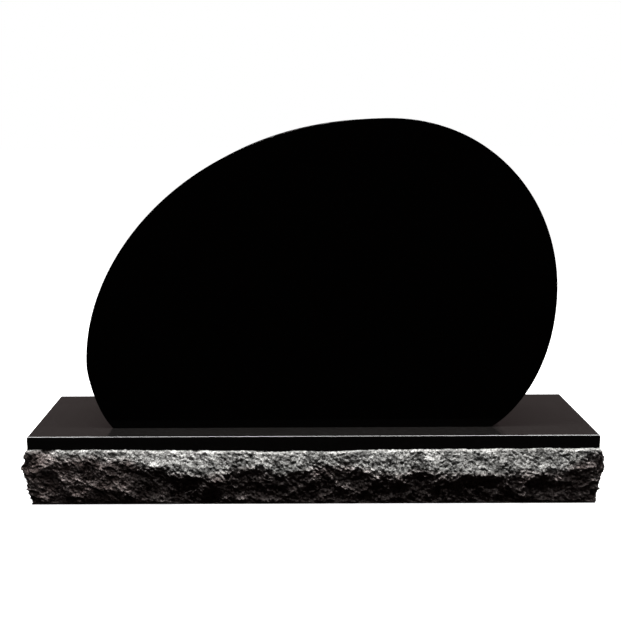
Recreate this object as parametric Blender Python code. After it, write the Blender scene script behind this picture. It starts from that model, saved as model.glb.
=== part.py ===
"""Granite headstone: a polished upright tablet standing on a base with rock-pitched sides.

Metres, +Z up. The origin is at the middle of the base's underside, the front faces -Y,
and +X is to the right of someone who faces the stone.
"""

import math
import random

import bmesh
import bpy
from mathutils import Vector, noise

# The base, over its polished faces.
BASE_WIDTH = 1.227
BASE_DEPTH = 0.320
BASE_HEIGHT = 0.154
MARGIN_HEIGHT = 0.0315  # polished strip from the top down to the pitch line, arris included
BASE_ARRIS = 0.003

# Its rough sides, below the pitch line.
ROCK_PROUD = 0.018  # how far the proudest rock stands out from the margin
ROCK_LIP = 0.003  # how far it breaks out at once, under the pitch line
LIP_DROP = 0.004
PITCH_WAVER = 0.003  # how far the pitch line wanders up and down
WAVER_SIZE = 0.070
ROCK_CELL = 0.012  # size of the facets
FACET_STRAY = 0.3  # how far a facet's corners stray from an even grid, as a share of ROCK_CELL
ROCK_BATTER = 0.25  # slope of the rock from the lip down to the ridge
UNDERCUT = 1.45  # hollow of the plainer sides: above 1, rock falls back fastest under the ridge
RIDGE_BLUNT = 0.0016  # how far the ridge is blunted
LOWER_RELIEF = 1.0  # how much deeper the relief is in a hollow face than above the ridge
BED_SLIP = 0.003  # how far the rock falls back behind the margin's plane at the bed
SLIP_TURN = 8  # the higher, the nearer to the bed that slip begins
BED_EASE = 0.08  # the relief dies out over this last share of the rock, so the bed edge is straight
SCOOP_SIZE = 0.045  # the shallow scoops that the pitching tool leaves
SCOOP_DEPTH = 0.007
CHIP_SIZE = 0.020
CHIP_DEPTH = 0.003
DRIFT_SIZE = 0.090  # the ridge line wanders sideways over this length
DRIFT = 0.012
RAGGED_SIZE = 0.035  # and up and down over this one
RAGGED = 0.006
CORNER_BLEND = 0.060
SPALL_WIDTH = 0.110  # from one tongue of the ridge line to the next, on the plainer sides

# The ridge line across the front, where the upper rock turns under: share of the front's
# width from its left end, share of the rock's height below the pitch line, and how hollow
# the face is under it.
FRONT_RIDGE = (
    (0.00, 0.03, 0.05),
    (0.035, 0.04, 0.10),
    (0.06, 0.12, 0.25),
    (0.11, 0.17, 0.30),
    (0.18, 0.17, 0.30),
    (0.205, 0.32, 1.7),
    (0.25, 0.38, 1.9),
    (0.285, 0.39, 1.9),
    (0.31, 0.46, 1.7),
    (0.345, 0.41, 1.7),
    (0.375, 0.32, 2.3),
    (0.415, 0.34, 2.5),
    (0.435, 0.45, 1.7),
    (0.475, 0.41, 2.1),
    (0.505, 0.28, 2.3),
    (0.56, 0.27, 1.9),
    (0.59, 0.34, 2.1),
    (0.61, 0.42, 2.1),
    (0.66, 0.44, 1.9),
    (0.675, 0.36, 2.3),
    (0.71, 0.41, 2.3),
    (0.75, 0.43, 2.3),
    (0.78, 0.44, 1.9),
    (0.83, 0.46, 1.9),
    (0.87, 0.42, 1.7),
    (0.90, 0.40, 1.7),
    (0.935, 0.39, 1.2),
    (0.955, 0.29, 1.1),
    (0.98, 0.16, 1.1),
    (1.00, 0.09, 1.2),
)
CUSP_REACH = (0.26, 0.34)  # on the plainer sides, the same share of the rock's height
TONGUE_REACH = (0.42, 0.56)
CUSP_STRAY = 0.3  # how far these points stray along the side, as a share of their spacing

# The tablet.
TABLET_WIDTH = 1.015
TABLET_HEIGHT = 0.666
TABLET_THICKNESS = 0.200
TABLET_ARRIS = 0.0008
TABLET_TO_RIGHT = 0.0167  # its middle stands this far to the right of the base's
BED_GAP = 0.0003
OUTLINE_STEPS = 44  # facets along each curve of the outline

# The tablet's outline from the front: each point and the handles of its two curves, as
# shares of the tablet's width from its left side and of its height from its foot.
OUTLINE = {
    "foot_left": ((0.0518, 0.0), (0.0518, 0.0), (0.0183, 0.0546)),
    "left": ((0.0, 0.2139), (0.0, 0.1750), (0.0, 0.5736)),
    "top": ((0.6408, 1.0), (0.2336, 1.0), (0.8498, 1.0)),
    "right": ((1.0, 0.4373), (1.0, 0.7460), (1.0, 0.1695)),
    "foot_right": ((0.8708, 0.0), (0.9082, 0.0300), (0.8708, 0.0)),
}

POLISHED_BLACK = (0.006, 0.006, 0.006, 1.0)
POLISHED_ROUGHNESS = 0.08
ROCK_GREY = (0.045, 0.043, 0.042, 1.0)
ROCK_ROUGHNESS = 0.75

PITCH_LINE = BASE_HEIGHT - MARGIN_HEIGHT
SEED = 7
ELSEWHERE = Vector((3.1, 5.7, 9.2))  # moves a second noise away from the first


def granite(name, colour, roughness):
    """Granite of one finish."""
    material = bpy.data.materials.new(name)
    material.use_nodes = True
    shader = material.node_tree.nodes["Principled BSDF"]
    shader.inputs["Base Color"].default_value = colour
    shader.inputs["Roughness"].default_value = roughness
    shader.inputs["Metallic"].default_value = 0.0
    material.diffuse_color = colour
    return material


def side_ridge(length, rng):
    """Ridge line of a plainer side: cusps and tongues in turn, as for FRONT_RIDGE."""
    steps = 2 * max(2, round(length / SPALL_WIDTH))
    points = []
    for k in range(steps + 1):
        reach = TONGUE_REACH if k % 2 else CUSP_REACH
        stray = rng.uniform(-CUSP_STRAY, CUSP_STRAY) if 0 < k < steps else 0.0
        points.append(((k + stray) / steps, rng.uniform(*reach), UNDERCUT))
    return points


def ridge_at(ridge, share):
    """Where the ridge line runs, as a share of the rock's height, and the hollow under it."""
    share = min(max(share, ridge[0][0]), ridge[-1][0])
    for (left, *here), (right, *there) in zip(ridge, ridge[1:]):
        if share <= right:
            t = (share - left) / (right - left)
            return [a + t * (b - a) for a, b in zip(here, there)]


def scoops(place, size, depth):
    """Shallow scoops with ribs between them: about as much above the mean face as below."""
    distances, _ = noise.voronoi(place / size, distance_metric="DISTANCE_SQUARED")
    return depth * (min(distances[0], 1.0) - 0.3)


def rock(ridge, length, along, below, place):
    """How far the rock stands out of the margin's plane, before it is fitted to ROCK_PROUD.

    along is the distance from the side's left end, below the distance under the pitch line.
    """
    drift = DRIFT * noise.noise(place / DRIFT_SIZE)
    reach, hollow = ridge_at(ridge, (along + drift) / length)
    crest = reach * PITCH_LINE + RAGGED * noise.noise(place / RAGGED_SIZE + ELSEWHERE)
    crest = max(crest, LIP_DROP)
    left = max(0.0, (PITCH_LINE - below) / (PITCH_LINE - crest))
    upper = ROCK_LIP + ROCK_BATTER * below
    lower = (ROCK_LIP + ROCK_BATTER * crest) * left**hollow
    lower -= BED_SLIP * max(0.0, 1.0 - left) ** SLIP_TURN
    out = upper - RIDGE_BLUNT * math.log(1.0 + math.exp((upper - lower) / RIDGE_BLUNT))
    relief = scoops(place, SCOOP_SIZE, SCOOP_DEPTH) + scoops(place, CHIP_SIZE, CHIP_DEPTH)
    if below > crest:
        relief *= 1.0 + LOWER_RELIEF * min(max(hollow - 1.0, 0.0), 1.0)
    return out + relief * min(1.0, left / BED_EASE)


def corner_share(distance):
    """1 on a side's own plane, easing to 0 at CORNER_BLEND behind it."""
    t = min(max(1.0 - distance / CORNER_BLEND, 0.0), 1.0)
    return t * t * (3.0 - 2.0 * t)


def on_side(value, size):
    """Whether a coordinate lies on one of the two opposite sides that are size apart."""
    return abs(abs(value) - size / 2) < 1e-6


def waver(place):
    """How far the pitch line is above or below its mean height."""
    return PITCH_WAVER * noise.noise(Vector((place.x, place.y, 0.0)) / WAVER_SIZE)


def scatter(wall, rng):
    """Strays the wall's vertices from their even grid, each within the sides it is on."""
    for vert in wall:
        stray = Vector([ROCK_CELL * FACET_STRAY * rng.uniform(-1.0, 1.0) for _ in range(3)])
        if on_side(vert.co.x, BASE_WIDTH):
            stray.x = 0.0
        if on_side(vert.co.y, BASE_DEPTH):
            stray.y = 0.0
        if vert.co.z < ROCK_CELL / 2 or vert.co.z > PITCH_LINE - 1.5 * LIP_DROP:
            stray.z = 0.0
        vert.co += stray


def roughen(wall, rng):
    """Moves the wall's vertices out into rock, each by the sides that it is on or near."""
    sides = (
        (Vector((0, -1, 0)), BASE_DEPTH / 2, Vector((1, 0, 0)), BASE_WIDTH, FRONT_RIDGE),
        (Vector((1, 0, 0)), BASE_WIDTH / 2, Vector((0, 1, 0)), BASE_DEPTH, None),
        (Vector((0, 1, 0)), BASE_DEPTH / 2, Vector((-1, 0, 0)), BASE_WIDTH, None),
        (Vector((-1, 0, 0)), BASE_WIDTH / 2, Vector((0, -1, 0)), BASE_DEPTH, None),
    )
    starts = {vert: vert.co.copy() for vert in wall}
    for outward, from_middle, across, length, front_ridge in sides:
        ridge = front_ridge or side_ridge(length, rng)
        pushes = {}
        for vert, place in starts.items():
            share = corner_share(from_middle - place.dot(outward))
            if share > 0.0:
                along = place.dot(across) + length / 2
                below = PITCH_LINE - place.z
                pushes[vert] = share * rock(ridge, length, along, below, place)
        fit = ROCK_PROUD / max(pushes.values())
        for vert, push in pushes.items():
            vert.co += outward * push * fit
    for vert, place in starts.items():
        vert.co.z += waver(place) * place.z / PITCH_LINE


def extrude_rim(bm, rim, rise, inset=0.0):
    """Carries an open rim up by rise and in by inset, and gives back the new rim."""
    made = bmesh.ops.extrude_edge_only(bm, edges=rim)["geom"]
    for vert in (item for item in made if isinstance(item, bmesh.types.BMVert)):
        vert.co.z += rise
        if on_side(vert.co.x, BASE_WIDTH):
            vert.co.x -= math.copysign(inset, vert.co.x)
        if on_side(vert.co.y, BASE_DEPTH):
            vert.co.y -= math.copysign(inset, vert.co.y)
    return [item for item in made if isinstance(item, bmesh.types.BMEdge) and item.is_boundary]


def build_base(collection):
    """The base: rough walls, then the pitch line, the margin, the arris and the flat top."""
    rng = random.Random(SEED)
    rough_height = PITCH_LINE - LIP_DROP
    bm = bmesh.new()
    bmesh.ops.create_cube(bm, size=1.0)
    bmesh.ops.scale(bm, vec=(BASE_WIDTH, BASE_DEPTH, rough_height), verts=bm.verts)
    bmesh.ops.translate(bm, vec=(0, 0, rough_height / 2), verts=bm.verts)
    level = [face for face in bm.faces if abs(face.normal.z) > 0.5]
    bmesh.ops.delete(bm, geom=level, context="FACES_ONLY")
    for axis, size in ((2, rough_height), (0, BASE_WIDTH), (1, BASE_DEPTH)):
        ends = [(edge, edge.verts[0].co - edge.verts[1].co) for edge in bm.edges]
        runs = [edge for edge, run in ends if abs(run[axis]) > size / 2]
        cuts = max(1, round(size / ROCK_CELL)) - 1
        bmesh.ops.subdivide_edges(bm, edges=runs, cuts=cuts, use_grid_fill=True)
    upper_rim = [edge for edge in bm.edges if edge.is_boundary and edge.verts[0].co.z > rough_height / 2]
    pitch_rim = extrude_rim(bm, upper_rim, LIP_DROP)
    pitch_verts = {vert for edge in pitch_rim for vert in edge.verts}
    wall = [vert for vert in bm.verts if vert not in pitch_verts]
    arris_rim = extrude_rim(bm, pitch_rim, MARGIN_HEIGHT - BASE_ARRIS)
    top_rim = extrude_rim(bm, arris_rim, BASE_ARRIS, BASE_ARRIS)
    bmesh.ops.edgeloop_fill(bm, edges=top_rim)
    plain = [vert for vert in bm.verts if vert.co.z > PITCH_LINE + LIP_DROP]
    smooth_edges = {edge for vert in plain for edge in vert.link_edges}
    bmesh.ops.dissolve_limit(bm, angle_limit=math.radians(0.5), verts=plain, edges=list(smooth_edges))
    for vert in pitch_verts:
        vert.co.z += waver(vert.co)
    scatter(wall, rng)
    roughen(wall, rng)
    rock_faces = {face for vert in wall for face in vert.link_faces}
    bmesh.ops.triangulate(bm, faces=list(rock_faces), quad_method="SHORT_EDGE")
    lower_rim = [edge for edge in bm.edges if edge.is_boundary]
    bmesh.ops.edgeloop_fill(bm, edges=lower_rim)
    bmesh.ops.recalc_face_normals(bm, faces=bm.faces)
    mesh = bpy.data.meshes.new("base")
    bm.to_mesh(mesh)
    bm.free()
    base = bpy.data.objects.new("base", mesh)
    collection.objects.link(base)
    mesh.materials.append(granite("rock-pitched granite", ROCK_GREY, ROCK_ROUGHNESS))
    mesh.materials.append(granite("polished base granite", POLISHED_BLACK, POLISHED_ROUGHNESS))
    for face in mesh.polygons:
        face.material_index = int(face.center.z > PITCH_LINE)
    return base


def build_tablet(collection):
    """The tablet: the flat outline given its thickness, with a fine arris round both faces."""
    curve = bpy.data.curves.new("tablet outline", "CURVE")
    curve.dimensions = "2D"
    curve.fill_mode = "BOTH"
    curve.extrude = TABLET_THICKNESS / 2
    curve.resolution_u = OUTLINE_STEPS
    spline = curve.splines.new("BEZIER")
    spline.bezier_points.add(len(OUTLINE) - 1)
    spline.use_cyclic_u = True
    for point, shares in zip(spline.bezier_points, OUTLINE.values()):
        corner, before, after = (
            Vector(((x - 0.5) * TABLET_WIDTH, z * TABLET_HEIGHT, 0.0)) for x, z in shares
        )
        point.handle_left_type = point.handle_right_type = "FREE"
        point.co = corner
        point.handle_left = before
        point.handle_right = after
    outline = bpy.data.objects.new("tablet outline", curve)
    collection.objects.link(outline)
    outline.rotation_euler = (math.radians(90), 0, 0)
    outline.location = (TABLET_TO_RIGHT, 0, BASE_HEIGHT + BED_GAP)
    bpy.context.view_layer.update()

    evaluated = outline.evaluated_get(bpy.context.evaluated_depsgraph_get())
    mesh = bpy.data.meshes.new_from_object(evaluated)
    bm = bmesh.new()
    bm.from_mesh(mesh)
    bmesh.ops.remove_doubles(bm, verts=bm.verts, dist=0.0001)
    bmesh.ops.dissolve_limit(bm, angle_limit=math.radians(0.05), verts=bm.verts, edges=bm.edges)
    bmesh.ops.recalc_face_normals(bm, faces=bm.faces)
    faces = [face for face in bm.faces if abs(face.normal.z) > 0.9]
    rims = {edge for face in faces for edge in face.edges}
    bmesh.ops.bevel(
        bm, geom=list(rims), offset=TABLET_ARRIS, affect="EDGES", segments=1, profile=0.5, material=-1
    )
    bm.to_mesh(mesh)
    bm.free()
    mesh.shade_smooth()
    mesh.set_sharp_from_angle(angle=math.radians(20))
    mesh.materials.clear()
    mesh.materials.append(granite("polished tablet granite", POLISHED_BLACK, POLISHED_ROUGHNESS))
    tablet = bpy.data.objects.new("tablet", mesh)
    collection.objects.link(tablet)
    tablet.matrix_world = outline.matrix_world
    bpy.data.objects.remove(outline)
    return tablet


for leftover in list(bpy.data.objects):
    bpy.data.objects.remove(leftover)
headstone = bpy.data.collections.new("headstone")
bpy.context.scene.collection.children.link(headstone)
build_base(headstone)
build_tablet(headstone)
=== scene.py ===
import math
import random

import bmesh
import bpy
from mathutils import Matrix, Vector, noise


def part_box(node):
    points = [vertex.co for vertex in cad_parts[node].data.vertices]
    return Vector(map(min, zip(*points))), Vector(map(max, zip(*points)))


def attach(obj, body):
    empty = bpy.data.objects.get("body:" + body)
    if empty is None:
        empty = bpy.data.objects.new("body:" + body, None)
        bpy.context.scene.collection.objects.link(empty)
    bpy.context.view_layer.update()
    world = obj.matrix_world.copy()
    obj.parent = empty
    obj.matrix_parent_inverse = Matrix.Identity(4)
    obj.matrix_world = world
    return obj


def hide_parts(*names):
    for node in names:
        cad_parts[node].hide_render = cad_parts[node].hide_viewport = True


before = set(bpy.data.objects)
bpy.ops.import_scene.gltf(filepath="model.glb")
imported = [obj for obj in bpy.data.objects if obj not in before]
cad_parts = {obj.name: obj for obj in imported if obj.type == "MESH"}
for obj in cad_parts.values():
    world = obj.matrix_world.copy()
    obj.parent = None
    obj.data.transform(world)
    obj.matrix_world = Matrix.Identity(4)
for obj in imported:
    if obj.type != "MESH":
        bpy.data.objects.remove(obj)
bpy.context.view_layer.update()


# The base: one block of dense black granite. Its top and a narrow margin under the top
# edge are polished. Below the margin the four sides are split back by hand with a
# pitching tool, which leaves a bruised lip, a ragged ridge and an undercut lower face.
CLOSE = 0.0001
base_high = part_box("base")[1]
top_corner = max(
    (vert.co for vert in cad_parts["base"].data.vertices if vert.co.z > base_high.z - CLOSE),
    key=lambda co: co.x + co.y,
)
ARRIS = 0.003
ARRIS_STEPS = 6
SLAB_WIDTH = 2 * (top_corner.x + ARRIS)
SLAB_DEPTH = 2 * (top_corner.y + ARRIS)
MARGIN_HEIGHT = 0.0315
PITCH_LINE = base_high.z - MARGIN_HEIGHT
PITCH_WAVER, WAVER_SIZE = 0.003, 0.070
PITCH_CRUMB, CRUMB_SIZE = 0.0015, 0.007

# The rock's large form: a lip under the pitch line, a slope out to the ridge, and under the
# ridge a hollow that runs back to the bed.
ROCK_PROUD = base_high.x - SLAB_WIDTH / 2
ROCK_LIP, LIP_DROP = 0.003, 0.003
ROCK_BATTER = 0.25
RIDGE_BLUNT, BLUNT_MEAN = 0.0021, 1.1
DRIFT, DRIFT_SIZE = 0.012, 0.090
RAGGED, RAGGED_SIZE = 0.006, 0.035
UNDERCUT = 1.45
UNDERCUT_EASE = 0.020
BED_SLIP, SLIP_TURN = 0.003, 8
BED_EASE = 0.08
SPALL_WIDTH = 0.110
CUSP_REACH = (0.26, 0.34)
TONGUE_REACH = (0.42, 0.56)
CUSP_STRAY = 0.3
CORNER_BLEND = 0.060
OWN_SIDE = 0.999
SPUR, SPUR_SIZE = 0.006, 0.006
LEFT_SPUR, RIGHT_SPUR = 0.30, 0.17

# The rock's relief, from scoops as long as a thumb down to the grain of the split stone.
ROCK_CELL = 0.0020
SCOOP_SIZE, SCOOP_DEPTH = 0.045, 0.007
CHIP_SIZE, CHIP_DEPTH = 0.020, 0.003
FLAKE_SIZE, FLAKE_DEPTH = 0.012, 0.0021
GRAIN_SIZE, GRAIN_DEPTH = 0.0048, 0.0022
GRAIN_FADE, GRAIN_STEP, GRAIN_LAYERS = 0.7, 2.0, 3
SCOOP_MEAN = 0.3
FLAKE_SLOPE = math.radians(-24)
FLAKE_STRETCH = 1.3
FLAKE_LEAN = 0.3
LOWER_RELIEF = 1.0

# How bruised the crystals are, from 0 for sound rock to 1 for crystals crushed pale; under the ridge some
# paleness is taken off as painted shade.
BRUISE_MEAN = 0.42
FLAKE_BRUISE = 0.8
PATCH_BRUISE, PATCH_SIZE = 0.6, 0.025
LIP_BRUISE, LIP_BELOW = 0.25, 0.005
PITCH_BRUISE = 0.25
# How much paleness is taken off under the ridge where the face is not hollow: painted shade.
PAINTED_SHADE_SHARE = 0.34
ELSEWHERE = Vector((3.1, 5.7, 9.2))
SEED = 7

# The pitch line isn't struck quite level: share of the front's width, and height above its mean.
PITCH_SWAY = (
    (0.00, 0.0026),
    (0.12, 0.0030),
    (0.21, 0.0008),
    (0.32, 0.0000),
    (0.46, -0.0030),
    (0.60, -0.0004),
    (0.70, 0.0020),
    (0.85, 0.0018),
    (1.00, 0.0030),
)

# The ridge line across the front: share of its width, share of the rock's height below
# the pitch line, and how hollow the face is under it.
FRONT_RIDGE = (
    (0.00, 0.03, 0.05),
    (0.035, 0.04, 0.10),
    (0.06, 0.12, 0.25),
    (0.11, 0.17, 0.30),
    (0.18, 0.17, 0.30),
    (0.205, 0.32, 1.7),
    (0.25, 0.38, 1.9),
    (0.285, 0.39, 1.9),
    (0.31, 0.46, 1.7),
    (0.345, 0.41, 1.7),
    (0.375, 0.32, 2.3),
    (0.415, 0.34, 2.5),
    (0.435, 0.45, 1.7),
    (0.475, 0.41, 2.1),
    (0.505, 0.28, 2.3),
    (0.56, 0.27, 1.9),
    (0.59, 0.34, 2.1),
    (0.61, 0.42, 2.1),
    (0.66, 0.44, 1.9),
    (0.675, 0.36, 2.3),
    (0.71, 0.41, 2.3),
    (0.75, 0.43, 2.3),
    (0.78, 0.44, 1.9),
    (0.83, 0.46, 1.9),
    (0.87, 0.42, 1.7),
    (0.90, 0.40, 1.7),
    (0.935, 0.39, 1.2),
    (0.955, 0.29, 1.1),
    (0.98, 0.16, 1.1),
    (1.00, 0.09, 1.2),
)


def side_ridge(length, rng):
    """Ridge line of a plainer side: cusps and tongues in turn."""
    steps = 2 * max(2, round(length / SPALL_WIDTH))
    points = []
    for k in range(steps + 1):
        reach = TONGUE_REACH if k % 2 else CUSP_REACH
        stray = rng.uniform(-CUSP_STRAY, CUSP_STRAY) if 0 < k < steps else 0.0
        points.append(((k + stray) / steps, rng.uniform(*reach), UNDERCUT))
    return points


def between(line, share):
    """The values of a line, such as a ridge line, at a share of its length."""
    share = min(max(share, line[0][0]), line[-1][0])
    for (left, *here), (right, *there) in zip(line, line[1:]):
        if share <= right:
            t = (share - left) / (right - left)
            return [a + t * (b - a) for a, b in zip(here, there)]


def scoops(place, size, depth):
    """Shallow scoops with ribs between them."""
    distances, _ = noise.voronoi(place / size, distance_metric="DISTANCE_SQUARED")
    return depth * (min(distances[0], 1.0) - SCOOP_MEAN)


def flaked(place):
    """A place on the rock, shrunk along the slanting line that the flakes run in."""
    level = place.x + place.y
    run = level * math.cos(FLAKE_SLOPE) + place.z * math.sin(FLAKE_SLOPE)
    rise = place.z * math.cos(FLAKE_SLOPE) - level * math.sin(FLAKE_SLOPE)
    return Vector((run / FLAKE_STRETCH, rise, FLAKE_LEAN * (place.x - place.y)))


def rock(ridge, spur, length, along, below, place):
    """How far the rock stands out of the margin's plane, how bruised it is with painted shade under the
    ridge, how far undercut.

    spur is the share of the rock's height where a spike of stone is left at the side's ends.
    """
    drift = DRIFT * noise.noise(place / DRIFT_SIZE)
    reach, hollow = between(ridge, (along + drift) / length)
    crest = reach * PITCH_LINE + RAGGED * noise.noise(place / RAGGED_SIZE + ELSEWHERE)
    crest = max(crest, LIP_DROP)
    left = max(0.0, (PITCH_LINE - below) / (PITCH_LINE - crest))
    patch = noise.noise(place / PATCH_SIZE + ELSEWHERE)
    upper = ROCK_LIP * min(1.0, below / LIP_DROP) + ROCK_BATTER * below
    lower = (ROCK_LIP + ROCK_BATTER * crest) * left**hollow
    lower -= BED_SLIP * max(0.0, 1.0 - left) ** SLIP_TURN
    blunt = RIDGE_BLUNT * (BLUNT_MEAN + patch)
    out = upper - blunt * math.log(1.0 + math.exp((upper - lower) / blunt))
    fine = scoops(flaked(place), FLAKE_SIZE, FLAKE_DEPTH)
    grain = noise.fractal(flaked(place) / GRAIN_SIZE, GRAIN_FADE, GRAIN_STEP, GRAIN_LAYERS)
    fine += GRAIN_DEPTH * grain
    relief = scoops(place, SCOOP_SIZE, SCOOP_DEPTH) + scoops(place, CHIP_SIZE, CHIP_DEPTH) + fine
    bruise_and_shade = BRUISE_MEAN + FLAKE_BRUISE * fine / (FLAKE_DEPTH + GRAIN_DEPTH) + PATCH_BRUISE * patch
    bruise_and_shade += (LIP_BRUISE + patch) * math.exp(-(((below - LIP_BELOW) / LIP_DROP) ** 2))
    undercut = min(max(0.5 + (below - crest) / UNDERCUT_EASE, 0.0), 1.0)
    relief *= 1.0 + LOWER_RELIEF * undercut * min(max(hollow - 1.0, 0.0), 1.0)
    # Darker under the ridge where the face is not hollow: painted shade.
    bruise_and_shade -= PAINTED_SHADE_SHARE * undercut * max(1.0 - hollow, 0.0)
    if spur:
        off = Vector((min(along, length - along), below - spur * PITCH_LINE)).length / SPUR_SIZE
        out += SPUR * math.exp(-off * off)
    return out + relief * min(1.0, left / BED_EASE), bruise_and_shade, undercut


def corner_share(distance):
    """How much a side's rock moves a place that is some distance behind that side's plane."""
    t = min(max(1.0 - distance / CORNER_BLEND, 0.0), 1.0)
    return t * t * (3.0 - 2.0 * t)


def waver(place):
    """How far the pitch line is above or below its mean height."""
    level = Vector((place.x, place.y, 0.0))
    sway = between(PITCH_SWAY, place.x / SLAB_WIDTH + 0.5)[0]
    sway += PITCH_WAVER * noise.noise(level / WAVER_SIZE)
    return sway + PITCH_CRUMB * noise.noise(level / CRUMB_SIZE)


def roughen(wall, bruises_and_shade, undercuts, rng):
    """Moves the wall's vertices out into rock, each by the sides that it is on or near."""
    sides = (
        (Vector((0, -1, 0)), SLAB_DEPTH / 2, Vector((1, 0, 0)), SLAB_WIDTH, FRONT_RIDGE, 0),
        (Vector((1, 0, 0)), SLAB_WIDTH / 2, Vector((0, 1, 0)), SLAB_DEPTH, None, RIGHT_SPUR),
        (Vector((0, 1, 0)), SLAB_DEPTH / 2, Vector((-1, 0, 0)), SLAB_WIDTH, None, 0),
        (Vector((-1, 0, 0)), SLAB_WIDTH / 2, Vector((0, -1, 0)), SLAB_DEPTH, None, LEFT_SPUR),
    )
    starts = [(vert, vert.co.copy()) for vert in wall]
    for outward, from_middle, across, length, front_ridge, spur in sides:
        ridge = front_ridge or side_ridge(length, rng)
        pushes = []
        for vert, place in starts:
            share = corner_share(from_middle - place.dot(outward))
            if share > 0.0:
                along = place.dot(across) + length / 2
                below = PITCH_LINE - place.z
                out, bruise_and_shade, undercut = rock(ridge, spur, length, along, below, place)
                pushes.append((vert, share * out))
                if share > OWN_SIDE:
                    vert[bruises_and_shade] = min(max(bruise_and_shade, 0.0), 1.0)
                    vert[undercuts] = undercut
        fit = ROCK_PROUD / max(push for _, push in pushes)
        for vert, push in pushes:
            vert.co += outward * push * fit
    for vert, place in starts:
        vert.co.z += waver(place) * place.z / PITCH_LINE


bm = bmesh.new()
bruises_and_shade = bm.verts.layers.float.new("bruise_and_shade")
undercuts = bm.verts.layers.float.new("undercut")
bmesh.ops.create_cube(bm, size=1.0)
bmesh.ops.scale(bm, vec=(SLAB_WIDTH, SLAB_DEPTH, PITCH_LINE), verts=bm.verts)
bmesh.ops.translate(bm, vec=(0, 0, PITCH_LINE / 2), verts=bm.verts)
top_and_bed = [face for face in bm.faces if abs(face.normal.z) > 0.5]
bmesh.ops.delete(bm, geom=top_and_bed, context="FACES_ONLY")
for axis, size in ((2, PITCH_LINE), (0, SLAB_WIDTH), (1, SLAB_DEPTH)):
    ends = [(edge, edge.verts[0].co - edge.verts[1].co) for edge in bm.edges]
    runs = [edge for edge, run in ends if abs(run[axis]) > size / 2]
    bmesh.ops.subdivide_edges(bm, edges=runs, cuts=round(size / ROCK_CELL) - 1, use_grid_fill=True)
pitch_rim = [edge for edge in bm.edges if edge.is_boundary and edge.verts[0].co.z > PITCH_LINE / 2]
pitch_verts = {vert for edge in pitch_rim for vert in edge.verts}
wall = [vert for vert in bm.verts if vert not in pitch_verts]
rock_faces = list(bm.faces)
margin = bmesh.ops.extrude_edge_only(bm, edges=pitch_rim)["geom"]
top_verts = [part for part in margin if isinstance(part, bmesh.types.BMVert)]
top_rim = [part for part in margin if isinstance(part, bmesh.types.BMEdge) and part.is_boundary]
bmesh.ops.translate(bm, vec=(0, 0, MARGIN_HEIGHT), verts=top_verts)
bmesh.ops.edgeloop_fill(bm, edges=top_rim)
plain = [vert for vert in bm.verts if vert.co.z > PITCH_LINE + ARRIS]
plain_edges = {edge for vert in plain for edge in vert.link_edges}
FLAT = math.radians(0.5)
bmesh.ops.dissolve_limit(bm, angle_limit=FLAT, verts=plain, edges=list(plain_edges))
top_edges = [edge for edge in bm.edges if all(vert.co.z > PITCH_LINE + ARRIS for vert in edge.verts)]
arris = bmesh.ops.bevel(
    bm, geom=top_edges, offset=ARRIS, affect="EDGES", segments=ARRIS_STEPS, profile=0.5, material=-1
)
for edge in arris["edges"]:
    edge.smooth = abs(edge.verts[0].co.z - edge.verts[1].co.z) < CLOSE
for vert in pitch_verts:
    vert.co.z += waver(vert.co)
    vert[bruises_and_shade] = PITCH_BRUISE
roughen(wall, bruises_and_shade, undercuts, random.Random(SEED))
bmesh.ops.edgeloop_fill(bm, edges=[edge for edge in bm.edges if edge.is_boundary])
bmesh.ops.recalc_face_normals(bm, faces=bm.faces)
for face in bm.faces:
    face.smooth = False
for face in arris["faces"]:
    face.smooth = True
for face in rock_faces:
    face.smooth = True
    face.material_index = 1
base_mesh = bpy.data.meshes.new("granite_base")
bm.to_mesh(base_mesh)
bm.free()
base = bpy.data.objects.new("granite_base", base_mesh)
bpy.context.scene.collection.objects.link(base)


def add(tree, kind, **values):
    """A node of a kind, with its plain settings."""
    node = tree.nodes.new(kind)
    for name, value in values.items():
        setattr(node, name, value)
    return node


FLECK_SHARE = 0.07


def granite_grain():
    """Node group: the mosaic of dark crystals that every face of both stones is cut through."""
    group = bpy.data.node_groups.new("granite grain", "ShaderNodeTree")
    group.interface.new_socket(name="Crystal Size", in_out="INPUT", socket_type="NodeSocketFloat")
    for name in ("Crystals", "Flecks", "Cloud"):
        group.interface.new_socket(name=name, in_out="OUTPUT", socket_type="NodeSocketFloat")
    enter = add(group, "NodeGroupInput")
    leave = add(group, "NodeGroupOutput")
    place = add(group, "ShaderNodeTexCoord")
    density = add(group, "ShaderNodeMath", operation="DIVIDE")
    density.inputs[0].default_value = 1.0
    group.links.new(enter.outputs["Crystal Size"], density.inputs[1])

    crystals = add(group, "ShaderNodeTexVoronoi", feature="F1")
    group.links.new(place.outputs["Object"], crystals.inputs["Vector"])
    group.links.new(density.outputs[0], crystals.inputs["Scale"])
    tone = add(group, "ShaderNodeSeparateColor")
    group.links.new(crystals.outputs["Color"], tone.inputs["Color"])
    group.links.new(tone.outputs["Red"], leave.inputs["Crystals"])

    rare = add(group, "ShaderNodeMapRange", clamp=True)
    rare.inputs["From Min"].default_value = 1.0 - FLECK_SHARE
    rare.inputs["From Max"].default_value = 1.0
    group.links.new(tone.outputs["Green"], rare.inputs["Value"])
    group.links.new(rare.outputs["Result"], leave.inputs["Flecks"])

    cloud = add(group, "ShaderNodeTexNoise")
    cloud.inputs["Scale"].default_value = 14.0
    cloud.inputs["Detail"].default_value = 5.0
    group.links.new(place.outputs["Object"], cloud.inputs["Vector"])
    group.links.new(cloud.outputs["Fac"], leave.inputs["Cloud"])
    return group


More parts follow.
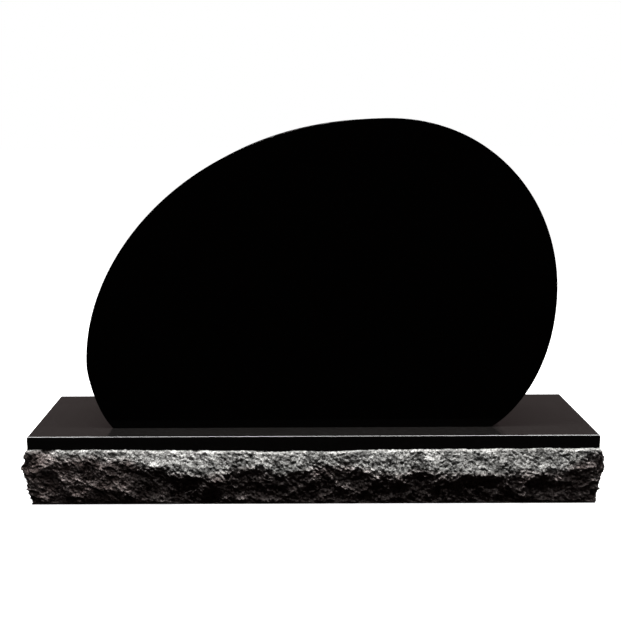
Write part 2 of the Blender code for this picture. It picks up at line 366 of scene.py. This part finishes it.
GRAIN = granite_grain()
CRYSTAL_SIZE = 0.0018
SPLIT_CRYSTAL_SIZE = 1.6 * CRYSTAL_SIZE
POLISH = (0.035, 0.075)
SPLIT_ROUGHNESS = (0.45, 0.85)
SOUND_ABOVE, BRUISED_ABOVE = (0.13, 0.128, 0.122), (0.70, 0.692, 0.668)
# The second pair is the colour under the ridge, painted darker and warmer where shade falls: painted
# shade.
SOUND_IN_PAINTED_SHADE, BRUISED_IN_PAINTED_SHADE = (0.17, 0.124, 0.115), (0.56, 0.490, 0.470)
DARK_CRYSTAL, CLEAR_CRYSTAL = (0.12, 0.115, 0.11), (1.0, 1.0, 1.0)


def spread(tree, value, low, high, from_low=0.0, from_high=1.0):
    """A value carried from one range to another."""
    node = add(tree, "ShaderNodeMapRange", clamp=True)
    node.inputs["From Min"].default_value = from_low
    node.inputs["From Max"].default_value = from_high
    node.inputs["To Min"].default_value = low
    node.inputs["To Max"].default_value = high
    tree.links.new(value, node.inputs["Value"])
    return node.outputs["Result"]


def blend(tree, share, first, second):
    """A colour between two, each a colour or another node's output."""
    node = add(tree, "ShaderNodeMix", data_type="RGBA")
    tree.links.new(share, node.inputs["Factor"])
    for socket, colour in ((node.inputs[6], first), (node.inputs[7], second)):
        if isinstance(colour, tuple):
            socket.default_value = (*colour, 1.0)
        else:
            tree.links.new(colour, socket)
    return node.outputs[2]


def polished_granite(name, dark, light, fleck):
    """Black granite, ground and buffed to a mirror."""
    material = bpy.data.materials.new(name)
    material.use_nodes = True
    tree = material.node_tree
    shader = tree.nodes["Principled BSDF"]
    grain = add(tree, "ShaderNodeGroup", node_tree=GRAIN)
    grain.inputs["Crystal Size"].default_value = CRYSTAL_SIZE
    ground = blend(tree, grain.outputs["Crystals"], dark, light)
    colour = blend(tree, grain.outputs["Flecks"], ground, fleck)
    tree.links.new(colour, shader.inputs["Base Color"])
    haze = spread(tree, grain.outputs["Cloud"], *POLISH, from_low=0.3, from_high=0.7)
    tree.links.new(haze, shader.inputs["Roughness"])
    shader.inputs["IOR"].default_value = 1.54
    return material


def pitched_granite():
    """The same granite where it is split: bruised crystals scatter the light and look grey.

    Above the ridge the rock is clean and neutral. Under it, where shade falls, a darker and warmer colour
    is painted: painted shade.
    """
    material = bpy.data.materials.new("rock-pitched granite")
    material.use_nodes = True
    tree = material.node_tree
    shader = tree.nodes["Principled BSDF"]
    place = add(tree, "ShaderNodeTexCoord")
    grain = add(tree, "ShaderNodeGroup", node_tree=GRAIN)
    grain.inputs["Crystal Size"].default_value = SPLIT_CRYSTAL_SIZE

    bruise_and_shade = add(tree, "ShaderNodeAttribute", attribute_name="bruise_and_shade")
    undercut = add(tree, "ShaderNodeAttribute", attribute_name="undercut")
    upper = blend(tree, bruise_and_shade.outputs["Fac"], SOUND_ABOVE, BRUISED_ABOVE)
    lower = blend(tree, bruise_and_shade.outputs["Fac"], SOUND_IN_PAINTED_SHADE, BRUISED_IN_PAINTED_SHADE)
    # Under the ridge the shaded pair takes over: painted shade.
    bruised_with_painted_shade = blend(tree, undercut.outputs["Fac"], upper, lower)
    ground = blend(tree, grain.outputs["Crystals"], DARK_CRYSTAL, CLEAR_CRYSTAL)
    mosaic = add(tree, "ShaderNodeMix", data_type="RGBA", blend_type="MULTIPLY")
    mosaic.inputs["Factor"].default_value = 1.0
    tree.links.new(bruised_with_painted_shade, mosaic.inputs[6])
    tree.links.new(ground, mosaic.inputs[7])
    tree.links.new(mosaic.outputs[2], shader.inputs["Base Color"])
    dullness = spread(tree, grain.outputs["Crystals"], *SPLIT_ROUGHNESS)
    tree.links.new(dullness, shader.inputs["Roughness"])
    shader.inputs["IOR"].default_value = 1.5

    crumb = add(tree, "ShaderNodeTexNoise")
    crumb.inputs["Scale"].default_value = 290.0
    crumb.inputs["Detail"].default_value = 4.0
    crumb.inputs["Roughness"].default_value = 0.6
    tree.links.new(place.outputs["Object"], crumb.inputs["Vector"])
    relief = add(tree, "ShaderNodeBump")
    relief.inputs["Strength"].default_value = 0.8
    relief.inputs["Distance"].default_value = 0.0020
    tree.links.new(crumb.outputs["Fac"], relief.inputs["Height"])
    tree.links.new(relief.outputs["Normal"], shader.inputs["Normal"])
    return material


polished_top = polished_granite(
    "polished base granite",
    dark=(0.0028, 0.0026, 0.0025),
    light=(0.0062, 0.0056, 0.0053),
    fleck=(0.012, 0.012, 0.012),
)
base_mesh.materials.append(polished_top)
base_mesh.materials.append(pitched_granite())
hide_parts("base")
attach(base, "root")


# The tablet: one upright slab of the same granite, sawn to a leaning egg outline, cut
# flat at the foot and polished on every face, with a fine arris round front and back.
tablet_low, tablet_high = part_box("tablet")
TABLET_ARRIS = 0.0005
TABLET_ARRIS_STEPS = 3
SQUARE_ON = 0.999
STRAIGHT = math.radians(0.02)
OUTLINE_STEPS = 96
OUTLINE = {
    "foot_left": ((0.0518, 0.0), (0.0518, 0.0), (0.0183, 0.0546)),
    "left": ((0.0, 0.2139), (0.0, 0.1750), (0.0, 0.5736)),
    "top": ((0.6408, 1.0), (0.2336, 1.0), (0.8498, 1.0)),
    "right": ((1.0, 0.4373), (1.0, 0.7460), (1.0, 0.1695)),
    "foot_right": ((0.8708, 0.0), (0.9082, 0.0300), (0.8708, 0.0)),
}
tablet_size = tablet_high - tablet_low
curve = bpy.data.curves.new("tablet outline", "CURVE")
curve.dimensions = "2D"
curve.fill_mode = "BOTH"
curve.extrude = tablet_size.y / 2
curve.resolution_u = OUTLINE_STEPS
spline = curve.splines.new("BEZIER")
spline.bezier_points.add(len(OUTLINE) - 1)
spline.use_cyclic_u = True
for point, shares in zip(spline.bezier_points, OUTLINE.values()):
    corner, before, after = (Vector((x * tablet_size.x, z * tablet_size.z, 0.0)) for x, z in shares)
    point.handle_left_type = point.handle_right_type = "FREE"
    point.co = corner
    point.handle_left = before
    point.handle_right = after
outline = bpy.data.objects.new("tablet outline", curve)
bpy.context.scene.collection.objects.link(outline)
bpy.context.view_layer.update()
cut_outline = outline.evaluated_get(bpy.context.evaluated_depsgraph_get())
tablet_mesh = bpy.data.meshes.new_from_object(cut_outline)
bpy.data.objects.remove(outline)
upright = Matrix.Translation((tablet_low.x, 0.0, tablet_low.z)) @ Matrix.Rotation(math.radians(90), 4, "X")
tablet_mesh.transform(upright)

bm = bmesh.new()
bm.from_mesh(tablet_mesh)
bmesh.ops.remove_doubles(bm, verts=bm.verts, dist=CLOSE)
bmesh.ops.dissolve_limit(bm, angle_limit=STRAIGHT, verts=bm.verts, edges=bm.edges)
bmesh.ops.recalc_face_normals(bm, faces=bm.faces)
front_and_back = [face for face in bm.faces if abs(face.normal.y) > SQUARE_ON]
rims = {edge for face in front_and_back for edge in face.edges}
arris = bmesh.ops.bevel(
    bm,
    geom=list(rims),
    offset=TABLET_ARRIS,
    affect="EDGES",
    segments=TABLET_ARRIS_STEPS,
    profile=0.5,
    material=-1,
)
arris_faces = set(arris["faces"])
for face in bm.faces:
    face.smooth = abs(face.normal.y) < SQUARE_ON and face.normal.z > -SQUARE_ON
for edge in bm.edges:
    edge.smooth = len(arris_faces.intersection(edge.link_faces)) != 1
bm.to_mesh(tablet_mesh)
bm.free()
tablet_mesh.name = "granite_tablet"
tablet_mesh.materials.clear()
# The tablet takes a far darker copy of the base granite's colours, so that its lit faces read black:
# painted shade.
polished_tablet_painted_dark = polished_granite(
    "polished tablet granite", dark=(0.0006,) * 3, light=(0.0014,) * 3, fleck=(0.004,) * 3
)
tablet_mesh.materials.append(polished_tablet_painted_dark)
tablet = bpy.data.objects.new("granite_tablet", tablet_mesh)
bpy.context.scene.collection.objects.link(tablet)
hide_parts("tablet")
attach(tablet, "root")


# The studio: a pale seamless floor, three long soft lights overhead, and dim warm walls
# that the polished faces mirror. The strongest light falls on the base alone, or the side
# of the tablet would mirror it as a white window.
FLOOR_SIZE = 60.0
bm = bmesh.new()
bmesh.ops.create_grid(bm, x_segments=1, y_segments=1, size=FLOOR_SIZE / 2)
floor_mesh = bpy.data.meshes.new("floor")
bm.to_mesh(floor_mesh)
bm.free()
floor = bpy.data.objects.new("floor", floor_mesh)
bpy.context.scene.collection.objects.link(floor)
paper = bpy.data.materials.new("pale paper")
paper.use_nodes = True
sheet = paper.node_tree.nodes["Principled BSDF"]
sheet.inputs["Base Color"].default_value = (0.9, 0.9, 0.9, 1.0)
sheet.inputs["Roughness"].default_value = 0.9
sheet.inputs["Specular IOR Level"].default_value = 0.0
sheet.inputs["Emission Color"].default_value = (1.0, 1.0, 1.0, 1.0)
sheet.inputs["Emission Strength"].default_value = 1.0
floor_mesh.materials.append(paper)
floor.visible_diffuse = False
floor.visible_glossy = False

LIGHT_LENGTH = 3.6
LIGHT_HEIGHT = 2.8


def softbox(name, depth, forward, brightness):
    """A long soft light overhead, turned down to the base's front edge.

    forward is how far it hangs in front of that edge, or less than 0 for behind it.
    """
    lamp = bpy.data.lights.new(name, "AREA")
    lamp.shape = "RECTANGLE"
    lamp.size = LIGHT_LENGTH
    lamp.size_y = depth
    lamp.energy = brightness * math.pi * LIGHT_LENGTH * depth
    light = bpy.data.objects.new(name, lamp)
    light.location = (0.0, -SLAB_DEPTH / 2 - forward, LIGHT_HEIGHT)
    towards = Vector((0.0, forward, base_high.z - LIGHT_HEIGHT))
    light.rotation_euler = towards.to_track_quat("-Z", "Y").to_euler()
    bpy.context.scene.collection.objects.link(light)
    return light


overhead = softbox("overhead softbox", depth=0.45, forward=0.15, brightness=62.0)
lit_from_overhead = bpy.data.collections.new("lit from overhead")
lit_from_overhead.objects.link(base)
overhead.light_linking.receiver_collection = lit_from_overhead
softbox("strip softbox", depth=0.20, forward=0.90, brightness=10.0)
softbox("back softbox", depth=0.45, forward=-1.40, brightness=25.0)

WALLS = (0.110, 0.086, 0.084)
DIM_FRONT = (0.006, 0.0045, 0.0045)
DIM_GROUND = (0.006, 0.0045, 0.004)
BACKDROP = (1.0, 1.0, 1.0)
world = bpy.data.worlds.new("studio")
bpy.context.scene.world = world
world.use_nodes = True
tree = world.node_tree
tree.nodes.clear()
towards = add(tree, "ShaderNodeTexCoord")
parts = add(tree, "ShaderNodeSeparateXYZ")
tree.links.new(towards.outputs["Generated"], parts.inputs["Vector"])
height = spread(tree, parts.outputs["Z"], 0.0, 1.0, from_low=-0.02, from_high=0.12)
behind = spread(tree, parts.outputs["Y"], 0.0, 1.0, from_low=-0.3, from_high=0.4)
wall = blend(tree, behind, DIM_FRONT, WALLS)
walls = blend(tree, height, DIM_GROUND, wall)
seen = add(tree, "ShaderNodeLightPath")
backdrop = blend(tree, seen.outputs["Is Camera Ray"], walls, BACKDROP)
shine = add(tree, "ShaderNodeBackground")
tree.links.new(backdrop, shine.inputs["Color"])
out = add(tree, "ShaderNodeOutputWorld")
tree.links.new(shine.outputs["Background"], out.inputs["Surface"])

# The camera: nearly straight in front and a little above, as the photo was taken. The
# picture is cut off-centre, which the lens shift makes up for.
IMAGE_SIZE = 622
PRINCIPAL_X = 280
FOCAL_PIXELS = 966.9
SENSOR = 36.0
CAMERA_PLACE = Vector((-0.0468, -2.1385, 0.8115))
PITCH, YAW, ROLL = math.radians(10.997), math.radians(-0.609), math.radians(-0.422)
ahead = Vector((math.sin(YAW) * math.cos(PITCH), math.cos(YAW) * math.cos(PITCH), -math.sin(PITCH)))
level_right = Vector((math.cos(YAW), -math.sin(YAW), 0.0))
level_up = level_right.cross(ahead)
right = level_right * math.cos(ROLL) + level_up * math.sin(ROLL)
up = level_up * math.cos(ROLL) - level_right * math.sin(ROLL)
lens = bpy.data.cameras.new("camera")
lens.sensor_width = SENSOR
lens.lens = FOCAL_PIXELS / IMAGE_SIZE * SENSOR
lens.shift_x = 0.5 - PRINCIPAL_X / IMAGE_SIZE
camera = bpy.data.objects.new("camera", lens)
camera.matrix_world = Matrix.Translation(CAMERA_PLACE) @ Matrix((right, up, -ahead)).transposed().to_4x4()
bpy.context.scene.collection.objects.link(camera)
bpy.context.scene.camera = camera
bpy.context.scene.view_settings.view_transform = "Standard"
